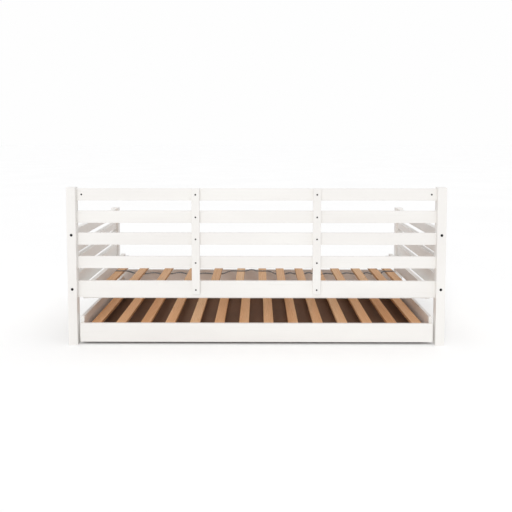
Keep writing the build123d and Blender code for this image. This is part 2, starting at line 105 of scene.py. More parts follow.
def add(material, kind, inputs=None, stops=None, **settings):
    """Adds a node. Inputs are sockets to link or values to set; stops are a colour ramp's (place, hex)."""
    tree = material.node_tree
    node = tree.nodes.new(kind)
    for name, value in settings.items():
        setattr(node, name, value)
    for key, value in (inputs or {}).items():
        if isinstance(value, bpy.types.NodeSocket):
            tree.links.new(value, node.inputs[key])
        else:
            node.inputs[key].default_value = value
    if stops:
        ramp = node.color_ramp
        while len(ramp.elements) < len(stops):
            ramp.elements.new(1.0)
        for element, (place, colour) in zip(ramp.elements, stops):
            element.position = place
            element.color = linear(colour)
    return node


def new_material(name):
    """An empty node material with its output, and the object's own coordinates in metres."""
    material = bpy.data.materials.new(name)
    material.use_nodes = True
    material.node_tree.nodes.clear()
    place = add(material, "ShaderNodeTexCoord").outputs["Object"]
    return material, place


def shade(material, inputs):
    """Closes a material: a Principled shader with these inputs, into the output."""
    shader = add(material, "ShaderNodeBsdfPrincipled", inputs)
    add(material, "ShaderNodeOutputMaterial", {"Surface": shader.outputs[0]})
    return material


def stretched(material, place, along, ratio):
    """The coordinates squeezed along one axis, which draws a pattern out into streaks that way."""
    scale = [ratio if axis == along else 1.0 for axis in "XYZ"]
    return add(material, "ShaderNodeMapping", {"Vector": place, "Scale": scale}).outputs[0]


print("white is", [round(v, 3) for v in linear("#ffffff")], "mid grey is", round(linear("#808080")[0], 3))

# %% [markdown]
# ## White paint over pine
#
# The frame is solid pine under two sprayed coats of satin water-based paint. Such a paint is never
# quite flat: the softer early wood sinks as it dries, so the grain shows as faint ridges a few
# millimetres apart that run the length of each board. Knots stay harder and stand a hair proud, and
# resin warms the white over them. The finish is satin: broad, soft reflections, a little uneven.
#
# A picture of painted wood could be wrapped round each board, but it would repeat and show seams.
# Noise in the object's own coordinates costs nothing and never repeats. Because boards run three
# ways, the same recipe is made three times, with the streaks drawn out along X, Y or Z.

# %% White paint
PAINT_RIDGE = 0.009                 # spacing of the ridges: coarser than real pine's 2 to 4 mm, to show
PAINT_RATIO = 0.035                 # ridges are about 30 times longer than they are wide
PAINT_KNOTS = 0.34                  # spacing of the places where a knot may lie
KNOT_RADIUS = 0.075                 # of that spacing


def painted_pine(along):
    """Satin paint over pine whose grain runs along one axis."""
    material, place = new_material(f"white_satin_paint_over_pine_{along.lower()}")
    fibre = stretched(material, place, along, PAINT_RATIO)
    ridges = add(material, "ShaderNodeTexNoise",
                 {"Vector": fibre, "Scale": 1 / PAINT_RIDGE, "Detail": 3.0, "Roughness": 0.55})
    spray = add(material, "ShaderNodeTexNoise",
                {"Vector": place, "Scale": 700.0, "Detail": 1.0, "Roughness": 0.4})
    cloud = add(material, "ShaderNodeTexNoise",
                {"Vector": stretched(material, place, along, 0.3), "Scale": 5.0, "Detail": 2.0})
    knot_field = add(material, "ShaderNodeTexVoronoi",
                     {"Vector": stretched(material, place, along, 0.45), "Scale": 1 / PAINT_KNOTS})
    knots = add(material, "ShaderNodeMapRange",
                {"Value": knot_field.outputs["Distance"], "From Min": KNOT_RADIUS,
                 "From Max": KNOT_RADIUS / 3, "To Min": 0.0, "To Max": 0.5},
                interpolation_type="SMOOTHSTEP")
    tone = add(material, "ShaderNodeValToRGB", {"Fac": cloud.outputs[0]},
               [(0.3, "#ece9e5"), (0.7, "#f2f0ec")])
    grained = add(material, "ShaderNodeMix",
                  {"Factor": add(material, "ShaderNodeMapRange",
                                 {"Value": ridges.outputs[0], "From Min": 0.62, "From Max": 0.8,
                                  "To Min": 0.0, "To Max": 0.45}).outputs[0],
                   6: tone.outputs[0], 7: linear("#e4e1db")}, data_type="RGBA")
    colour = add(material, "ShaderNodeMix",
                 {"Factor": knots.outputs[0], 6: grained.outputs[2], 7: linear("#e9e2d1")},
                 data_type="RGBA")
    sheen = add(material, "ShaderNodeMapRange",
                {"Value": ridges.outputs[0], "From Min": 0.25, "From Max": 0.75,
                 "To Min": 0.36, "To Max": 0.50})
    relief = add(material, "ShaderNodeBump",
                 {"Height": ridges.outputs[0], "Strength": 0.16, "Distance": 0.0006})
    skin = add(material, "ShaderNodeBump",
               {"Height": spray.outputs[0], "Strength": 0.05, "Distance": 0.0002,
                "Normal": relief.outputs[0]})
    return shade(material, {"Base Color": colour.outputs[2], "Roughness": sheen.outputs[0],
                            "IOR": 1.48, "Normal": skin.outputs[0]})


paint = {axis: painted_pine(axis) for axis in "XYZ"}
print("paints:", [m.name for m in paint.values()])

# %% [markdown]
# ## Bare pine, oiled
#
# The slats that carry the mattresses are planed pine with one coat of oil, which turns it an orange
# brown. Sawn boards show the growth rings as lines: pale, soft early wood and thin, hard, darker
# late wood, 3 to 8 mm apart, drawn out along the board in long waves. Knots are darker, nearly
# round, and the lines part round them. Fine pores run the same way as short scratches.
#
# The rings are bands across the board, pushed about by a slow noise that is drawn out along it. The
# distance to the nearest knot bends the bands as well, so that they flow round it. A very slow noise
# across the bed makes each slat a slightly different piece of wood, since all of them share one
# coordinate system. The recipe takes a tint that multiplies its colour: for the upper slats a
# near-grey one, painted shade that makes them darker than the trundle's.

# %% Bare pine
RING_SPACING = 0.007                # between growth rings on the face of a slat
BAND_TURN = 20.0                    # Blender's wave texture turns this far in one unit, in radians
KNOT_SPACING = 0.19                 # between the places where a knot may lie
UNSHADED_TINT = (1.0, 1.0, 1.0, 1.0)
# painted shade: this near-grey multiplies the upper slats' pine to make it darker
PAINTED_SHADE_TINT = (0.74, 0.75, 0.77, 1.0)


def oiled_pine(shading_label, along, across, tint):
    """Oiled pine with rings and pores along one axis, stacked along another, times a tint; a grey tint is
    painted shade.
    """
    material, place = new_material(f"oiled_planed_pine_{shading_label}_{along.lower()}")
    slow = add(material, "ShaderNodeTexNoise",
               {"Vector": stretched(material, place, along, 0.09), "Scale": 16.0, "Detail": 2.0,
                "Roughness": 0.45})
    knot_field = add(material, "ShaderNodeTexVoronoi",
                     {"Vector": stretched(material, place, along, 0.62), "Scale": 1 / KNOT_SPACING,
                      "Randomness": 1.0})
    near_knot = add(material, "ShaderNodeMapRange",
                    {"Value": knot_field.outputs["Distance"], "From Min": 0.30, "From Max": 0.02,
                     "To Min": 0.0, "To Max": 0.055}, interpolation_type="SMOOTHSTEP")
    sway = add(material, "ShaderNodeMath", {0: slow.outputs[0], 1: 0.075}, operation="MULTIPLY")
    bend = add(material, "ShaderNodeMath", {0: sway.outputs[0], 1: near_knot.outputs[0]},
               operation="ADD")
    apart = add(material, "ShaderNodeSeparateXYZ", {"Vector": place})
    moved = add(material, "ShaderNodeMath", {0: apart.outputs[across], 1: bend.outputs[0]},
                operation="ADD")
    cut = add(material, "ShaderNodeCombineXYZ", {across: moved.outputs[0]})
    rings = add(material, "ShaderNodeTexWave",
                {"Vector": cut.outputs[0], "Scale": 2 * math.pi / BAND_TURN / RING_SPACING,
                 "Distortion": 0.0},
                wave_type="BANDS", bands_direction=across, wave_profile="SAW")
    pores = add(material, "ShaderNodeTexNoise",
                {"Vector": stretched(material, place, along, 0.02), "Scale": 420.0, "Detail": 3.0,
                 "Roughness": 0.6})
    board = add(material, "ShaderNodeTexNoise",
                {"Vector": stretched(material, place, along, 0.04), "Scale": 7.0, "Detail": 1.0})
    ring_colour = add(material, "ShaderNodeValToRGB", {"Fac": rings.outputs["Fac"]},
                      [(0.0, "#ecbd8d"), (0.45, "#e7b583"), (0.86, "#d3955e"), (1.0, "#e2ad79")])
    whole = add(material, "ShaderNodeValToRGB", {"Fac": board.outputs[0]},
                [(0.32, "#cb8f5a"), (0.5, "#eab787"), (0.68, "#f8d2a6")])
    varied = add(material, "ShaderNodeMix",
                 {"Factor": 0.5, 6: ring_colour.outputs[0], 7: whole.outputs[0]}, data_type="RGBA")
    scratched = add(material, "ShaderNodeMix",
                    {"Factor": add(material, "ShaderNodeMapRange",
                                   {"Value": pores.outputs[0], "From Min": 0.52, "From Max": 0.72,
                                    "To Min": 0.0, "To Max": 0.35}).outputs[0],
                     6: varied.outputs[2], 7: linear("#a8764a")}, data_type="RGBA")
    heart = add(material, "ShaderNodeMapRange",
                {"Value": knot_field.outputs["Distance"], "From Min": 0.085, "From Max": 0.035,
                 "To Min": 0.0, "To Max": 0.85}, interpolation_type="SMOOTHSTEP")
    colour = add(material, "ShaderNodeMix",
                 {"Factor": heart.outputs[0], 6: scratched.outputs[2], 7: linear("#7c4c29")},
                 data_type="RGBA")
    # The tint multiplies the colour; for the upper slats it is painted shade.
    tinted = add(material, "ShaderNodeMix", {0: 1.0, 6: colour.outputs[2], 7: tint},
                 data_type="RGBA", blend_type="MULTIPLY")
    gloss = add(material, "ShaderNodeMapRange",
                {"Value": pores.outputs[0], "From Min": 0.3, "From Max": 0.7,
                 "To Min": 0.48, "To Max": 0.66})
    ridge = add(material, "ShaderNodeBump",
                {"Height": rings.outputs["Fac"], "Strength": 0.12, "Distance": 0.0005})
    grain = add(material, "ShaderNodeBump",
                {"Height": pores.outputs[0], "Strength": 0.25, "Distance": 0.0003,
                 "Normal": ridge.outputs[0]})
    return shade(material, {"Base Color": tinted.outputs[2], "Roughness": gloss.outputs[0],
                            "IOR": 1.47, "Normal": grain.outputs[0]})


# The upper slats: the same pine, darkened by painted shade.
upper_pine_painted_shade = oiled_pine("dark", "Y", "X", PAINTED_SHADE_TINT)
trundle_pine = oiled_pine("pale", "Y", "X", UNSHADED_TINT)
bearer_pine = oiled_pine("pale", "X", "Y", UNSHADED_TINT)
print("rings every", RING_SPACING * 1000, "mm")

# %% [markdown]
# ## Hardboard, as painted shade
#
# Hardboard, a thin sheet, closes the trundle under its slats. Its dark brown is painted shade: it
# gives the gaps between the trundle's slats the deep shade that lies under them. It is wood fibre,
# cooked and pressed flat with its own resin, so it is an even brown with no grain: only short fibres
# that lie every way, a few darker flecks of bark, and slow clouds where the press ran hotter. Noise
# at three sizes gives the clouds, the fibres and the flecks. The pressed face is smooth but not shiny.

# %% Hardboard, as painted shade
FIBRE = 0.0016                      # length of a fibre bundle
FLECK = 0.007                       # spacing of the bark flecks


def dark_hardboard_as_painted_shade():
    """Brown pressed fibre, dark enough to paint the shade under the trundle's slats: clouds under short
    fibres, with flecks of bark.
    """
    material, place = new_material("dark_hardboard_painted_shade")
    cloud = add(material, "ShaderNodeTexNoise", {"Vector": place, "Scale": 6.0, "Detail": 2.0})
    fibre = add(material, "ShaderNodeTexNoise",
                {"Vector": place, "Scale": 1 / FIBRE, "Detail": 3.0, "Roughness": 0.65,
                 "Distortion": 1.2})
    bark = add(material, "ShaderNodeTexVoronoi", {"Vector": place, "Scale": 1 / FLECK})
    board = add(material, "ShaderNodeValToRGB", {"Fac": cloud.outputs[0]},
                [(0.3, "#715139"), (0.7, "#78563d")])
    fibrous = add(material, "ShaderNodeMix",
                  {"Factor": add(material, "ShaderNodeMapRange",
                                 {"Value": fibre.outputs[0], "From Min": 0.45, "From Max": 0.75,
                                  "To Min": 0.0, "To Max": 0.6}).outputs[0],
                   6: board.outputs[0], 7: linear("#5f412d")}, data_type="RGBA")
    flecks = add(material, "ShaderNodeMapRange",
                 {"Value": bark.outputs["Distance"], "From Min": 0.16, "From Max": 0.06,
                  "To Min": 0.0, "To Max": 0.7})
    colour = add(material, "ShaderNodeMix",
                 {"Factor": flecks.outputs[0], 6: fibrous.outputs[2], 7: linear("#3e2a1d")},
                 data_type="RGBA")
    dull = add(material, "ShaderNodeMapRange",
               {"Value": fibre.outputs[0], "From Min": 0.3, "From Max": 0.7,
                "To Min": 0.52, "To Max": 0.70})
    bump = add(material, "ShaderNodeBump",
               {"Height": fibre.outputs[0], "Strength": 0.15, "Distance": 0.0002})
    return shade(material, {"Base Color": colour.outputs[2], "Roughness": dull.outputs[0],
                            "IOR": 1.47, "Normal": bump.outputs[0]})


# The sheet under the trundle's slats; its dark brown is painted shade.
painted_shade_hardboard = dark_hardboard_as_painted_shade()
print("fibres:", FIBRE * 1000, "mm")

# %% [markdown]
# ## Steel, two finishes
#
# The frame bolts, their nuts and the battens' screws are black: steel dipped in a phosphate bath,
# which grows a dull, very fine crystal skin. The other screws, the brackets, axles and angles are
# zinc plated. Bright zinc is a grey metal whose shine changes from patch to patch, and it dulls
# where it has been handled. Both are true metals, so they keep the default index of refraction and
# take their colour from the metal itself.

# %% Steel
PHOSPHATE_GRAIN = 0.0008            # clusters of crystals; single ones are far too fine to show
ZINC_PATCH = 0.006                  # patches of a plated skin


def phosphated_steel():
    """Black phosphate: dark, dull metal with a grain."""
    material, place = new_material("black_phosphated_steel")
    grain = add(material, "ShaderNodeTexNoise",
                {"Vector": place, "Scale": 1 / PHOSPHATE_GRAIN, "Detail": 2.0})
    colour = add(material, "ShaderNodeValToRGB", {"Fac": grain.outputs[0]},
                 [(0.35, "#1f1e1f"), (0.7, "#2f2e30")])
    dull = add(material, "ShaderNodeMapRange",
               {"Value": grain.outputs[0], "From Min": 0.3, "From Max": 0.7,
                "To Min": 0.38, "To Max": 0.56})
    bump = add(material, "ShaderNodeBump",
               {"Height": grain.outputs[0], "Strength": 0.2, "Distance": 0.0001})
    return shade(material, {"Base Color": colour.outputs[0], "Metallic": 0.85,
                            "Roughness": dull.outputs[0], "Normal": bump.outputs[0]})


def zinc_plated_steel():
    """Bright zinc: grey metal in patches of uneven shine."""
    material, place = new_material("zinc_plated_steel")
    patches = add(material, "ShaderNodeTexVoronoi", {"Vector": place, "Scale": 1 / ZINC_PATCH})
    stain = add(material, "ShaderNodeTexNoise", {"Vector": place, "Scale": 90.0, "Detail": 3.0})
    colour = add(material, "ShaderNodeValToRGB", {"Fac": stain.outputs[0]},
                 [(0.3, "#9b9da0"), (0.7, "#c3c6c9")])
    shine = add(material, "ShaderNodeMapRange",
                {"Value": patches.outputs["Distance"], "From Min": 0.0, "From Max": 0.8,
                 "To Min": 0.22, "To Max": 0.42})
    bump = add(material, "ShaderNodeBump",
               {"Height": patches.outputs["Distance"], "Strength": 0.06, "Distance": 0.0002})
    return shade(material, {"Base Color": colour.outputs[0], "Metallic": 1.0,
                            "Roughness": shine.outputs[0], "Normal": bump.outputs[0]})


black_steel = phosphated_steel()
zinc_steel = zinc_plated_steel()
print("metals:", black_steel.name, zinc_steel.name)

# %% [markdown]
# ## Webbing and moulded nylon
#
# A strap of woven polypropylene keeps the slats apart. Its flat yarns cross in a herringbone about
# 2 mm wide. Each yarn's crown is painted lighter, a painted highlight, and the grooves between are
# painted darker, as painted shade. The pattern must follow the strap as it winds over and under, so
# it reads a map that is laid along the strap in metres, not the object's coordinates.
#
# The wheels are injection-moulded black nylon: a smooth, slightly greasy surface with a fine
# spark-eroded texture from the mould.

# %% Webbing and nylon
YARN = 0.0022                       # width of a yarn
NYLON_GRAIN = 0.0012                # texture of the mould


def woven_polypropylene():
    """Two sets of slanted yarns that trade places across the strap, on the strap's own map, with a painted
    highlight on each crown and painted shade between.
    """
    material, _ = new_material("black_woven_polypropylene")
    length_and_width = add(material, "ShaderNodeUVMap", uv_map="along_the_strap").outputs[0]
    apart = add(material, "ShaderNodeSeparateXYZ", {"Vector": length_and_width})
    slant = add(material, "ShaderNodeMath", {0: apart.outputs["Y"]}, operation="ABSOLUTE")
    lean = add(material, "ShaderNodeMath", {0: apart.outputs["X"], 1: slant.outputs[0]},
               operation="ADD")
    chevrons = add(material, "ShaderNodeMath",
                   {0: lean.outputs[0], 1: 2 * math.pi / YARN}, operation="MULTIPLY")
    crown = add(material, "ShaderNodeMath", {0: chevrons.outputs[0]}, operation="SINE")
    warp = add(material, "ShaderNodeMath",
               {0: apart.outputs["Y"], 1: 2 * math.pi / YARN}, operation="MULTIPLY")
    cord = add(material, "ShaderNodeMath", {0: warp.outputs[0]}, operation="COSINE")
    weave_relief_and_painted_light = add(material, "ShaderNodeMath", {0: crown.outputs[0], 1: cord.outputs[0]},
                operation="MAXIMUM")
    # Colour follows the weave's height: a painted highlight on the crowns, painted shade in the grooves.
    colour = add(material, "ShaderNodeValToRGB",
                 {"Fac": add(material, "ShaderNodeMapRange",
                             {"Value": weave_relief_and_painted_light.outputs[0], "From Min": -1.0}).outputs[0]},
                 stops=[(0.2, "#141415"), (1.0, "#353537")])
    bump = add(material, "ShaderNodeBump",
               {"Height": weave_relief_and_painted_light.outputs[0], "Strength": 0.6, "Distance": 0.0004})
    return shade(material, {"Base Color": colour.outputs[0], "Roughness": 0.62,
                            "Sheen Weight": 0.25, "Normal": bump.outputs[0]})


def moulded_nylon():
    """Black nylon with a mould texture and scuffs all over."""
    material, place = new_material("black_moulded_nylon")
    grain = add(material, "ShaderNodeTexNoise",
                {"Vector": place, "Scale": 1 / NYLON_GRAIN, "Detail": 2.0})
    scuff = add(material, "ShaderNodeTexNoise", {"Vector": place, "Scale": 60.0, "Detail": 4.0})
    colour = add(material, "ShaderNodeValToRGB", {"Fac": scuff.outputs[0]},
                 [(0.4, "#262628"), (0.75, "#3a3a3c")])
    dull = add(material, "ShaderNodeMapRange",
               {"Value": scuff.outputs[0], "From Min": 0.3, "From Max": 0.7,
                "To Min": 0.34, "To Max": 0.55})
    bump = add(material, "ShaderNodeBump",
               {"Height": grain.outputs[0], "Strength": 0.15, "Distance": 0.0002})
    return shade(material, {"Base Color": colour.outputs[0], "Roughness": dull.outputs[0],
                            "IOR": 1.53, "Normal": bump.outputs[0]})


webbing = woven_polypropylene()
nylon = moulded_nylon()
print("yarns across the strap:", round(0.025 / YARN))

# %% [markdown]
# ## Dress the frame's boards
#
# Each board takes the paint or the pine whose grain runs the way that the board does. A table of
# name beginnings keeps this in one place.

# %% Materials of the frame
PAINTED = {
    "X": ("back_slat_", "back_bottom_rail", "front_rail", "trundle_back_panel",
          "trundle_front_panel", "slat_ledger_"),
    "Y": ("end_rail_", "base_end_", "trundle_side_"),
    "Z": ("rear_post_", "front_post_", "back_batten_"),
}
OTHER = {
    # the upper slats' pine carries painted shade
    "upper_slat_": upper_pine_painted_shade,
    "trundle_slats": trundle_pine,
    "trundle_bearer_": bearer_pine,
    # the trundle's bottom sheet, dark brown as painted shade
    "trundle_bottom": painted_shade_hardboard,
    "corner_blocks": bearer_pine,
    "wheel_brackets": zinc_steel,
    "wheel_axles": zinc_steel,
    "corner_angles": zinc_steel,
}
starts = {start: paint[axis] for axis, names in PAINTED.items() for start in names} | OTHER
dressed = 0
for name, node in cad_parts.items():
    for start, material in starts.items():
        if name.startswith(start):
            for holder in node.material_slots:
                holder.material = material
            dressed += 1
print("dressed", dressed, "of", len(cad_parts), "nodes")

# %% [markdown]
# ## New pieces as grids of rings
#
# Every new piece here is a surface with two parameters: which ring, and how far round it. The rings
# are worked out together, as one array of points. Joining each ring to the next makes the skin, and
# a single many-sided face closes each end, or the last ring joins the first where the piece is a
# hoop, like a wheel round its axle. A shape's signed volume tells which way its faces look, so they
# can all be turned outwards.

# %% Grid to mesh
def skin(rings, around, hoop):
    """Quads between neighbouring rings: corner (i, j), then j + 1, then both on ring i + 1."""
    i = np.arange(rings if hoop else rings - 1)[:, None]
    j = np.arange(around)[None, :]
    i2, j2 = (i + 1) % rings, (j + 1) % around
    quads = np.stack([i * around + j + 0 * i2, i * around + j2, i2 * around + j2, i2 * around + j], -1)
    return quads.reshape(-1, 4)


def outward(points, quads):
    """True if the faces look out: the signed volume, a sum over faces of a . (b x c) / 6, is positive."""
    p = points[quads]
    first = np.einsum("ij,ij->i", p[:, 0], np.cross(p[:, 1], p[:, 2]))
    second = np.einsum("ij,ij->i", p[:, 0], np.cross(p[:, 2], p[:, 3]))
    return (first + second).sum() > 0


def piece(name, grids, material, body, hoop=False, replaced=()):
    """A piece from grids (copies, rings, around, 3), which rides on a body and stands for CAD nodes."""
    copies, rings, around, _ = grids.shape
    one = skin(rings, around, hoop)
    middle = grids[0].reshape(-1, 3) - grids[0].reshape(-1, 3).mean(0)
    ends = [] if hoop else [np.arange(around)[::-1], (rings - 1) * around + np.arange(around)]
    if not outward(middle, one):
        one = one[:, ::-1]
        ends = [end[::-1] for end in ends]
    shifts = np.arange(copies) * rings * around
    faces = (one[None] + shifts[:, None, None]).reshape(-1, 4).tolist()
    for end in ends:
        faces += (end[None] + shifts[:, None]).tolist()
    mesh = bpy.data.meshes.new(name)
    mesh.from_pydata(grids.reshape(-1, 3).tolist(), [], faces)
    mesh.polygons.foreach_set("use_smooth", np.ones(len(mesh.polygons), bool))
    mesh.materials.append(material)
    mesh.validate()
    made = bpy.data.objects.new(name, mesh)
    bpy.context.scene.collection.objects.link(made)
    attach(made, body)
    if replaced:
        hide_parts(*replaced)
    print(name, ":", copies, "x", len(one), "quads on", body)
    return made


# %% [markdown]
# ## Where the screws are
#
# The frame knows the place of every bolt and screw: each is a separate solid inside one node. Two
# triangles belong to the same solid if they share a corner, so the labels of a triangle's corners are
# lowered to the smallest of them, over and over, until nothing changes. In a solid of that kind the
# longest side of its box is the shank, and the wide end is the head.

# %% Find the solids of a node
SAME_POINT = 1e-5                   # corners nearer than this are one


def solids(name):
    """Each separate solid's corners, by spreading the lowest corner number through shared triangles."""
    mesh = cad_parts[name].data
    points = np.empty(len(mesh.vertices) * 3, np.float32)
    mesh.vertices.foreach_get("co", points)
    points = points.reshape(-1, 3).astype(float)
    corners = np.empty(len(mesh.loops), np.int32)
    mesh.loops.foreach_get("vertex_index", corners)
    _, same = np.unique(np.round(points / SAME_POINT), axis=0, return_inverse=True)
    same = same.ravel()
    triangles = same[corners].reshape(-1, 3)
    label = np.arange(same.max() + 1)
    settled = False
    while not settled:
        lowest = label.copy()
        for k in range(3):
            np.minimum.at(lowest, triangles[:, k], label[triangles].min(1))
        lowest = lowest[lowest]
        settled = bool((lowest == label).all())
        label = lowest
    return [points[label[same] == k] for k in np.unique(label)]


def fasteners(name):
    """For each bolt or screw: the middle of its head's top, its way, length, head height and radii."""
    found = []
    for points in solids(name):
        low, high = points.min(0), points.max(0)
        axis = int(np.argmax(high - low))
        centre = (low + high) / 2
        off = np.delete(points - centre, axis, axis=1)
        radius = np.linalg.norm(off, axis=1)
        head = points[radius > 0.9 * radius.max(), axis]
        sign = 1.0 if head.mean() < centre[axis] else -1.0
        way = np.eye(3)[axis] * sign
        top = centre - way * (high - low)[axis] / 2
        found.append({"top": top, "way": way, "length": (high - low)[axis],
                      "head": np.ptp(head), "head_radius": radius.max(), "radius": radius.min()})
    return found


print("frame bolts found:", len(fasteners("frame_bolts")))

# %% [markdown]
# ## Bolts and screws
#
# A socket-head bolt is turned on a lathe and its hexagon is punched. A wood screw is cold-headed and
# gets a cross. Both are one profile carried round an axis: down the wall of the recess, over the
# domed head, under its rim and along the shank. Only the rings of the recess aren't round: their
# radius follows a hexagon, a cross or a slot. A real screw's thread is inside the wood, so the shank
# stays plain.

# %% Heads with a recess
AROUND = 36                         # points round each ring
CROSS_WAIST = 0.36                  # radius between the arms of a cross, as a share of the arms'
SLOT_WIDTH = 0.2                    # of the slot's length


def hexagon(angle):
    """Distance to the side of a hexagon of unit size: cos 30 / cos of the angle from the side's middle."""
    sixth = math.pi / 3
    return math.cos(sixth / 2) / np.cos(angle % sixth - sixth / 2)


def cross(angle):
    """A cross with four rounded arms: from the waist up to 1, by the cube of |cos 2a|."""
    return CROSS_WAIST + (1 - CROSS_WAIST) * np.abs(np.cos(2 * angle)) ** 3


def slot_shape(angle):
    """A slot: a box one unit long and a fifth as wide, as the nearer of its two sides."""
    return np.minimum(1 / np.maximum(np.abs(np.cos(angle)), 1e-6),
                      SLOT_WIDTH / np.maximum(np.abs(np.sin(angle)), 1e-6))


def turned(found, outline, recess):
    """Rings round each fastener's axis. Outline rows are (radius, depth, share of the recess's shape)."""
    angle = np.linspace(0, 2 * math.pi, AROUND, endpoint=False)
    grids = []
    for one in found:
        radius, depth, share = np.array(outline(one)).T
        shape = 1 - share[:, None] * (1 - recess(angle)[None, :])
        ring = radius[:, None] * shape
        side = np.roll(one["way"], 1)
        up = np.cross(one["way"], side)
        grids.append(one["top"] + ring[..., None] * np.cos(angle)[None, :, None] * side
                     + ring[..., None] * np.sin(angle)[None, :, None] * up
                     + depth[:, None, None] * one["way"])
    return np.array(grids)


def socket_bolt(one):
    """Button head: socket floor, socket wall, bevel, dome, rim, underside, shank, tip."""
    r, h, s, end = one["head_radius"], one["head"], one["radius"], one["length"]
    return [(0.40 * r, 0.95 * h, 1), (0.42 * r, 0.10 * h, 1), (0.48 * r, 0.01 * h, 0.9),
            (0.56 * r, 0.0, 0), (0.74 * r, 0.06 * h, 0), (0.90 * r, 0.26 * h, 0),
            (0.985 * r, 0.55 * h, 0), (r, 0.72 * h, 0), (r, h, 0), (s, h, 0),
            (s, end - s, 0), (0.7 * s, end, 0)]


def cross_screw(one):
    """Low raised head with a punched cross."""
    r, h, s, end = one["head_radius"], one["head"], one["radius"], one["length"]
    return [(0.22 * r, 0.9 * h, 0), (0.55 * r, 0.22 * h, 1), (0.60 * r, 0.05 * h, 1),
            (0.72 * r, 0.04 * h, 0), (0.86 * r, 0.16 * h, 0), (0.96 * r, 0.36 * h, 0),
            (r, 0.55 * h, 0), (r, h, 0), (s, h, 0), (s, end - 2 * s, 0), (0.2 * s, end, 0)]


BOLTS = {"frame_bolts": (socket_bolt, hexagon, black_steel, "black_steel", "bed_frame"),
         "batten_screws": (cross_screw, cross, black_steel, "black_steel", "bed_frame"),
         "base_screws": (cross_screw, cross, zinc_steel, "zinc_steel", "bed_frame"),
         "trundle_screws": (cross_screw, cross, zinc_steel, "zinc_steel", "trundle")}
for node, (outline, recess, material, slot, body) in BOLTS.items():
    piece(f"{node}_with_recess", turned(fasteners(node), outline, recess), material, body,
          replaced=(node,))

# %% [markdown]
# ## Barrel nuts
#
# A bolt into the side of a board needs a nut inside it. A barrel nut is a short steel bar, pushed in
# from the face and turned with a screwdriver until its cross-hole meets the bolt, so its end has a
# slot and a small bevel. It is the same profile again, with a slot for a recess at one end.

# %% Barrel nuts
NUT_BEVEL = 0.0006
NUT_SLOT = 0.0016                   # depth of the slot


def barrel_nut(one):
    """Slot floor, slot mouth, end face, bevel, barrel, bevel."""
    r, end = one["head_radius"], one["length"]
    return [(0.70 * r, NUT_SLOT, 1), (0.72 * r, 0.0001, 1), (0.84 * r, 0.0, 0),
            (r - NUT_BEVEL, 0.0, 0), (r, NUT_BEVEL, 0), (r, end - NUT_BEVEL, 0),
            (r - NUT_BEVEL, end, 0)]


nuts = fasteners("barrel_nuts")
for nut in nuts:
    middle = nut["top"] + nut["way"] * nut["length"] / 2
    along_x = abs(nut["way"][0]) > 0.5
    nut["way"] = np.array([np.sign(middle[0]), 0, 0] if along_x else [0, 1, 0], float)
    nut["top"] = middle - nut["way"] * nut["length"] / 2
piece("barrel_nuts_with_slot", turned(nuts, barrel_nut, slot_shape), black_steel,
      "bed_frame", replaced=("barrel_nuts",))
print("nuts:", len(nuts), "the longest", round(max(n["length"] for n in nuts) * 1000, 1), "mm long")

# %% [markdown]
# ## The strap
#
# One strap runs the length of the slatted base, over a few slats and under the rest, and a staple
# holds it to each. Between two slats it is never quite tight, so it bulges. The strap is a thin
# band with slightly thicker, rounded edges. Its middle line is a curve in the upright plane: level
# at each slat, and between slats a smooth step (3t^2 - 2t^3) with half a sine wave added for the
# bulge. The band's outline is carried along that line, standing square to it. A cloth simulation
# would give nearly the same shape, but would not know which slats it passes over.

# %% Strap
STRAP_THICK = 0.0016
STRAP_LIFT = 0.0001                 # so that it doesn't share a face with a slat
STRAP_BULGES = (0.004, 0.007, 0.009)  # height of the bulges, in turn along the strap
STRAP_STEPS = 14                    # points in each gap

strap_low, strap_high = (np.array(corner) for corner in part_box("slat_strap"))
slat_boxes = sorted((tuple(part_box(name)[0]), tuple(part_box(name)[1]))
                    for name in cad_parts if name.startswith("upper_slat_"))
slat_top, slat_bottom = slat_boxes[0][1][2], slat_boxes[0][0][2]
strap_points = np.concatenate(solids("slat_strap"))
EDGE_SLACK = 1e-4                   # a corner this far outside a slat's edge still lies on it
OVER = [bool((strap_points[(strap_points[:, 0] > low[0] - EDGE_SLACK)
                           & (strap_points[:, 0] < high[0] + EDGE_SLACK), 2] > slat_top).any())
        for low, high in slat_boxes]


def strap_line():
    """Middle line: at each slat a level stretch, between slats a smooth step and half a sine."""
    levels = [slat_top + STRAP_THICK / 2 + STRAP_LIFT if over
              else slat_bottom - STRAP_THICK / 2 - STRAP_LIFT for over in OVER]
    xs, zs = [], []
    for number, (low, high) in enumerate(slat_boxes):
        flat = np.linspace(low[0], high[0], 4)
        xs.append(flat)
        zs.append(np.full(4, levels[number]))
        if number + 1 < len(slat_boxes):
            t = np.linspace(0, 1, STRAP_STEPS + 2)[1:-1]
            xs.append(high[0] + t * (slat_boxes[number + 1][0][0] - high[0]))
            step = levels[number] + (levels[number + 1] - levels[number]) * (3 - 2 * t) * t ** 2
            bulge = STRAP_BULGES[number % len(STRAP_BULGES)]
            zs.append(step + bulge * np.sin(math.pi * t) ** 2)
    return np.concatenate(xs), np.concatenate(zs)


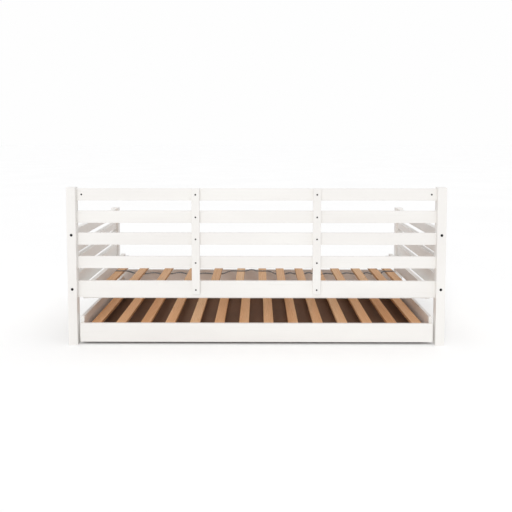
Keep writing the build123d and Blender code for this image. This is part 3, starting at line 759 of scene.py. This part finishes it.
def strap():
    """The outline (y, height) of the band, carried along its line and kept square to it."""
    x, z = strap_line()
    slope = np.gradient(z, x)
    out = np.stack([-slope, np.ones_like(slope)], 1) / np.hypot(slope, 1)[:, None]
    width = strap_high[1] - strap_low[1]
    half = np.array([-0.5, -0.47, -0.40, -0.15, 0.15, 0.40, 0.47, 0.5])
    swell = np.array([0.35, 0.50, 0.44, 0.42, 0.42, 0.44, 0.50, 0.35]) * STRAP_THICK
    y = np.concatenate([half, half[::-1]]) * width
    height = np.concatenate([swell, -swell[::-1]])
    grid = np.empty((len(x), len(y), 3))
    grid[..., 0] = x[:, None] + out[:, :1] * height[None, :]
    grid[..., 1] = (strap_low[1] + strap_high[1]) / 2 + y[None, :]
    grid[..., 2] = z[:, None] + out[:, 1:] * height[None, :]
    run = np.concatenate([[0], np.cumsum(np.hypot(np.diff(x), np.diff(z)))])
    made = piece("woven_slat_strap", grid[None], webbing, "bed_frame",
                 replaced=("slat_strap",))
    chart = np.stack(np.broadcast_arrays(run[:, None], y[None, :]), -1).reshape(-1, 2)
    corner = np.empty(len(made.data.loops), np.int32)
    made.data.loops.foreach_get("vertex_index", corner)
    layer = made.data.uv_layers.new(name="along_the_strap")
    layer.data.foreach_set("uv", chart[corner].ravel())
    return run[-1]


strap_length = strap()
print("over slats:", [k + 1 for k, over in enumerate(OVER) if over], "length:",
      round(strap_length, 3), "m")

# %% [markdown]
# ## Staples
#
# A staple's crown is a short flattened wire that lies across the strap. It is a bar with rounded
# ends: rings whose radius follows a quarter circle at each end.

# %% Staples
STAPLE_LONG = 0.012
STAPLE_WIRE = 0.0007                # half the wire's width


def staples():
    """Bars across the strap, in the middle of each slat, sunk by half into the strap's face."""
    t = np.linspace(0, math.pi, 9)
    along = -np.cos(t) * STAPLE_LONG / 2
    radius = STAPLE_WIRE * np.clip(np.sin(t) * 3, 0.25, 1)
    angle = np.linspace(0, 2 * math.pi, 8, endpoint=False)
    middle_y = (strap_low[1] + strap_high[1]) / 2
    grids = []
    for (low, high), over in zip(slat_boxes, OVER):
        z = slat_top + STRAP_THICK if over else slat_bottom - STRAP_THICK
        centre = np.array([(low[0] + high[0]) / 2, middle_y, z])
        grids.append(centre + np.stack(np.broadcast_arrays(
            radius[:, None] * np.cos(angle), along[:, None],
            radius[:, None] * np.sin(angle)), -1))
    return np.array(grids)


piece("strap_staples", staples(), zinc_steel, "bed_frame")

# %% [markdown]
# ## Wheels
#
# A trundle's wheels are moulded in one: a hub round the axle, a thin web with ribs that stiffen it,
# and a rounded tread with a fine line where the two halves of the mould met. The piece is a hoop,
# one outline carried round the axle. Only the web changes on the way round, where it rises to the
# level of the rim at each rib, by a cosine that is cut off at its top and bottom.

# %% Wheels
RIBS = 6
HUB = 0.30                          # radii below are shares of the wheel's radius
WEB_START, WEB_END = 0.36, 0.76
BORE_RADIUS = 0.00405
WEB_DEPTH = 0.27                    # how far the web lies below the rim, as a share of the width
AROUND_WHEEL = 96


def wheel(low, high):
    """Outline from the bore outwards on one side, over the tread and back on the other side."""
    radius, width = (high[2] - low[2]) / 2, high[0] - low[0]
    centre = (low + high) / 2
    bore = BORE_RADIUS / radius
    side = [(bore, 0.5, 0), (bore + 0.02, 0.5, 0), (HUB - 0.03, 0.5, 0), (HUB, 0.48, 0),
            (HUB + 0.02, 0.46, 0), (WEB_START, 0.5 - WEB_DEPTH, 1),
            ((WEB_START + WEB_END) / 2, 0.5 - WEB_DEPTH, 1), (WEB_END, 0.5 - WEB_DEPTH, 1),
            (0.80, 0.46, 0), (0.82, 0.48, 0), (0.86, 0.5, 0), (0.93, 0.5, 0), (0.97, 0.47, 0),
            (1 - 0.008, 0.42, 0), (1, 0.34, 0), (1, 0.03, 0), (1 - 0.008, 0.0, 0)]
    other = [(r, -x, web) for r, x, web in side[-2::-1]]
    r, x, web = np.array(side + other).T
    angle = np.linspace(0, 2 * math.pi, AROUND_WHEEL, endpoint=False)
    rib = np.clip((np.cos(RIBS * angle) - 0.80) / 0.15, 0, 1)
    rise = web[:, None] * rib[None, :] * (WEB_DEPTH - 0.05) * np.sign(x)[:, None]
    return centre + np.stack(np.broadcast_arrays(
        (x[:, None] + rise) * width, radius * r[:, None] * np.cos(angle),
        radius * r[:, None] * np.sin(angle)), -1)


for name in sorted(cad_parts):
    if name.startswith("wheel_rear") or name.startswith("wheel_front"):
        low, high = (np.array(corner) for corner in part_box(name))
        piece(f"{name}_moulded", wheel(low, high)[None], nylon, name,
              hoop=True, replaced=(name,))

# %% [markdown]
# ## Studio
#
# The bed stands on a wide pale floor under soft light. The key light comes over the camera's left
# shoulder, fairly low, so the faces towards the camera are bright and the ones that look right fall
# off a little. A panel near the bed would light the near floor more than the far floor, so both
# lights are far ones with a wide face: even light, soft shadows. A pale world fills the shadows.
# The view is set to Standard, so that white paint comes out white instead of being pulled towards
# grey.

# %% Floor, lights and world
FLOOR_HALF = 90.0
KEY_FROM = (-0.23, -0.85, 0.47)     # the way to the key light
KEY_SPREAD = 16.0                   # how wide the light looks from the bed, in degrees
KEY_STRENGTH = 0.80
TOP_FROM = (0.10, -0.05, 1.0)
TOP_SPREAD = 70.0
TOP_STRENGTH = 1.05
WORLD_LIGHT = 0.60


def pale_floor():
    """A square of floor with a faint, slow change of tone, as painted boards or paper have."""
    material, place = new_material("pale_studio_floor")
    cloud = add(material, "ShaderNodeTexNoise", {"Vector": place, "Scale": 0.7, "Detail": 1.0})
    tone = add(material, "ShaderNodeValToRGB", {"Fac": cloud.outputs[0]},
               [(0.3, "#fbfbfa"), (0.7, "#fdfdfc")])
    shade(material, {"Base Color": tone.outputs[0], "Roughness": 0.9})
    mesh = bpy.data.meshes.new("studio_floor")
    h = FLOOR_HALF
    mesh.from_pydata([(-h, -h, 0), (h, -h, 0), (h, h, 0), (-h, h, 0)], [], [(0, 1, 2, 3)])
    mesh.materials.append(material)
    floor = bpy.data.objects.new("studio_floor", mesh)
    bpy.context.scene.collection.objects.link(floor)


def far_light(name, source, spread, strength):
    """A light so far away that it is as strong everywhere, and so wide that its shadows are soft."""
    lamp = bpy.data.lights.new(name, "SUN")
    lamp.angle = math.radians(spread)
    lamp.energy = strength
    light = bpy.data.objects.new(name, lamp)
    x, y, z = source
    light.rotation_euler = (math.atan2(math.hypot(x, y), z), 0, math.atan2(x, -y))
    bpy.context.scene.collection.objects.link(light)


def pale_world():
    """White behind everything, and a dimmer white as light."""
    world = bpy.data.worlds.new("studio_world")
    world.use_nodes = True
    world.node_tree.nodes.clear()
    seen = add(world, "ShaderNodeBackground", {"Color": linear("#fefefe"), "Strength": 1.0})
    lights = add(world, "ShaderNodeBackground", {"Color": linear("#fdfdff"), "Strength": WORLD_LIGHT})
    ray = add(world, "ShaderNodeLightPath")
    mix = add(world, "ShaderNodeMixShader",
              {0: ray.outputs["Is Camera Ray"], 1: lights.outputs[0], 2: seen.outputs[0]})
    add(world, "ShaderNodeOutputWorld", {"Surface": mix.outputs[0]})
    bpy.context.scene.world = world


pale_floor()
far_light("key", KEY_FROM, KEY_SPREAD, KEY_STRENGTH)
far_light("overhead", TOP_FROM, TOP_SPREAD, TOP_STRENGTH)
pale_world()
bpy.context.scene.view_settings.view_transform = "Standard"
